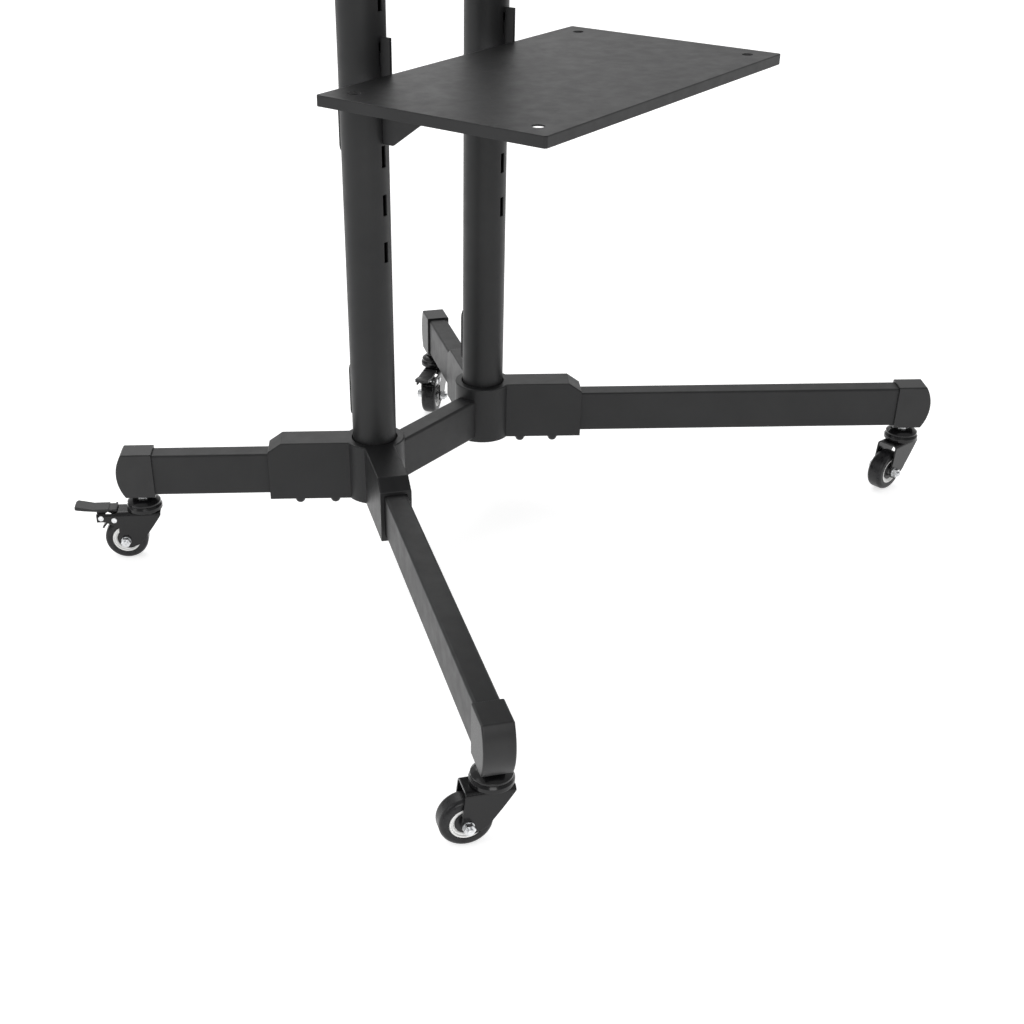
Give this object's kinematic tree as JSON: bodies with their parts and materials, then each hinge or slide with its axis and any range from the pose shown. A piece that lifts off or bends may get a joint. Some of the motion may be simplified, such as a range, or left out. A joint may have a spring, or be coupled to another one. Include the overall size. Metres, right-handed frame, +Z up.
{
  "type": "lectern podium",
  "caption": "Mobile lectern stand: slotted columns on splayed legs with braked swivel casters, a hooked shelf and a tilting sheet-steel reading desk with a lip.",
  "frame": {"origin": "on the floor, at the bottom centre of the whole stand's box, casters included", "axes": "+X from the left column to the right column, -Y to the long front legs and the reader's lip of the desk, +Z up"},
  "size_m": [0.9662, 0.727, 1.1592],
  "materials": {
    "frame_coat": "satin black powder coat",
    "hub_coat": "satin black powder coat on cast metal",
    "cap_plastic": "satin black moulded plastic",
    "cover_plastic": "fine-grained black plastic",
    "zinc": "bright zinc plating",
    "black_bolt": "black oxide",
    "caster_black": "gloss black electro-coat",
    "tyre_rubber": "smooth black polyurethane",
    "core_white": "white moulded plastic",
    "guard_black": "black moulded plastic",
    "pedal_plastic": "black moulded plastic",
    "knob_plastic": "grained black plastic"
  },
  "bodies": {
    "stand": {"crossbar": "frame_coat", "leg_bolts": "black_bolt", "leg_weld_nuts": "zinc", "hub_left": "hub_coat", "leg_front_left": "frame_coat", "leg_cap_front_left": "cap_plastic", "leg_rear_left": "frame_coat", "leg_cap_rear_left": "cap_plastic", "hub_right": "hub_coat", "leg_front_right": "frame_coat", "leg_cap_front_right": "cap_plastic", "leg_rear_right": "frame_coat", "leg_cap_rear_right": "cap_plastic", "column_feet": "black_bolt", "column_bolts": "black_bolt", "cable_port_covers": "cover_plastic", "shelf_tray": "frame_coat", "shelf_stud_nuts": "zinc", "pivot_bolts": "black_bolt", "column_left": "frame_coat", "column_head_left": "hub_coat", "shelf_bracket_left": "frame_coat", "column_right": "frame_coat", "column_head_right": "hub_coat", "shelf_bracket_right": "frame_coat", "caster_stems": "zinc", "caster_stem_nuts": "zinc", "caster_domes": "caster_black"},
    "desk": {"desk_panel": "frame_coat", "desk_bracket_left": "frame_coat", "desk_bracket_right": "frame_coat", "desk_stud_nuts": "zinc"},
    "tilt_knob_left": {"tilt_knob_left": "knob_plastic"},
    "tilt_knob_right": {"tilt_knob_right": "knob_plastic"},
    "swivel_front_left": {"fork_front_left": "caster_black", "axle_front_left": "zinc"},
    "wheel_front_left": {"tyre_front_left": "tyre_rubber", "wheel_core_front_left": "core_white", "thread_guards_front_left": "guard_black"},
    "swivel_front_right": {"fork_front_right": "caster_black", "axle_front_right": "zinc"},
    "wheel_front_right": {"tyre_front_right": "tyre_rubber", "wheel_core_front_right": "core_white", "thread_guards_front_right": "guard_black"},
    "swivel_rear_left": {"fork_rear_left": "caster_black", "axle_rear_left": "zinc", "brake_rivets_rear_left": "zinc"},
    "wheel_rear_left": {"tyre_rear_left": "tyre_rubber", "wheel_core_rear_left": "core_white", "thread_guards_rear_left": "guard_black"},
    "pedal_rear_left": {"brake_pedal_rear_left": "pedal_plastic"},
    "shoe_rear_left": {"brake_shoe_rear_left": "caster_black"},
    "swivel_rear_right": {"fork_rear_right": "caster_black", "axle_rear_right": "zinc", "brake_rivets_rear_right": "zinc"},
    "wheel_rear_right": {"tyre_rear_right": "tyre_rubber", "wheel_core_rear_right": "core_white", "thread_guards_rear_right": "guard_black"},
    "pedal_rear_right": {"brake_pedal_rear_right": "pedal_plastic"},
    "shoe_rear_right": {"brake_shoe_rear_right": "caster_black"}
  },
  "joints": [
    {"name": "desk_tilt", "type": "hinge", "parent": "stand", "child": "desk", "pos_m": [0.00795, 0.08578, 1.072], "axis": [1, 0, 0], "range_deg": [-20, 25]},
    {"name": "tilt_knob_left_turn", "type": "hinge", "parent": "stand", "child": "tilt_knob_left", "pos_m": [-0.11385, 0.08578, 1.072], "axis": [-1, 0, 0], "range_deg": [0, 360]},
    {"name": "tilt_knob_right_turn", "type": "hinge", "parent": "stand", "child": "tilt_knob_right", "pos_m": [0.12975, 0.08578, 1.072], "axis": [1, 0, 0], "range_deg": [0, 360]},
    {"name": "swivel_front_left_turn", "type": "hinge", "parent": "stand", "child": "swivel_front_left", "pos_m": [-0.43961, -0.33424, 0.062], "axis": [0, 0, 1], "continuous": true},
    {"name": "wheel_front_left_spin", "type": "hinge", "parent": "swivel_front_left", "child": "wheel_front_left", "pos_m": [-0.45915, -0.31897, 0.0252], "axis": [-0.6157, -0.788, 0], "continuous": true},
    {"name": "swivel_front_right_turn", "type": "hinge", "parent": "stand", "child": "swivel_front_right", "pos_m": [0.45551, -0.33424, 0.062], "axis": [0, 0, 1], "continuous": true},
    {"name": "wheel_front_right_spin", "type": "hinge", "parent": "swivel_front_right", "child": "wheel_front_right", "pos_m": [0.43121, -0.3293, 0.0252], "axis": [-0.1994, -0.9799, 0], "continuous": true},
    {"name": "swivel_rear_left_turn", "type": "hinge", "parent": "stand", "child": "swivel_rear_left", "pos_m": [-0.27165, 0.29759, 0.062], "axis": [0, 0, 1], "continuous": true},
    {"name": "wheel_rear_left_spin", "type": "hinge", "parent": "swivel_rear_left", "child": "wheel_rear_left", "pos_m": [-0.28809, 0.31617, 0.0252], "axis": [-0.749, -0.6626, 0], "continuous": true},
    {"name": "pedal_rear_left_press", "type": "hinge", "parent": "swivel_rear_left", "child": "pedal_rear_left", "pos_m": [-0.30512, 0.33541, 0.0565], "axis": [-0.749, -0.6626, 0], "range_deg": [0, 12]},
    {"name": "shoe_rear_left_turn", "type": "hinge", "parent": "swivel_rear_left", "child": "shoe_rear_left", "pos_m": [-0.29518, 0.32418, 0.0535], "axis": [-0.749, -0.6626, 0], "range_deg": [0, 8]},
    {"name": "swivel_rear_right_turn", "type": "hinge", "parent": "stand", "child": "swivel_rear_right", "pos_m": [0.28755, 0.29759, 0.062], "axis": [0, 0, 1], "continuous": true},
    {"name": "wheel_rear_right_spin", "type": "hinge", "parent": "swivel_rear_right", "child": "wheel_rear_right", "pos_m": [0.26481, 0.2877, 0.0252], "axis": [0.3987, -0.9171, 0], "continuous": true},
    {"name": "pedal_rear_right_press", "type": "hinge", "parent": "swivel_rear_right", "child": "pedal_rear_right", "pos_m": [0.24124, 0.27746, 0.0565], "axis": [0.3987, -0.9171, 0], "range_deg": [0, 12]},
    {"name": "shoe_rear_right_turn", "type": "hinge", "parent": "swivel_rear_right", "child": "shoe_rear_right", "pos_m": [0.255, 0.28344, 0.0535], "axis": [0.3987, -0.9171, 0], "range_deg": [0, 8]}
  ],
  "couplings": [
    {"joint": "shoe_rear_left_turn", "follows": "pedal_rear_left_press", "ratio": 0.66667},
    {"joint": "shoe_rear_right_turn", "follows": "pedal_rear_right_press", "ratio": 0.66667}
  ]
}
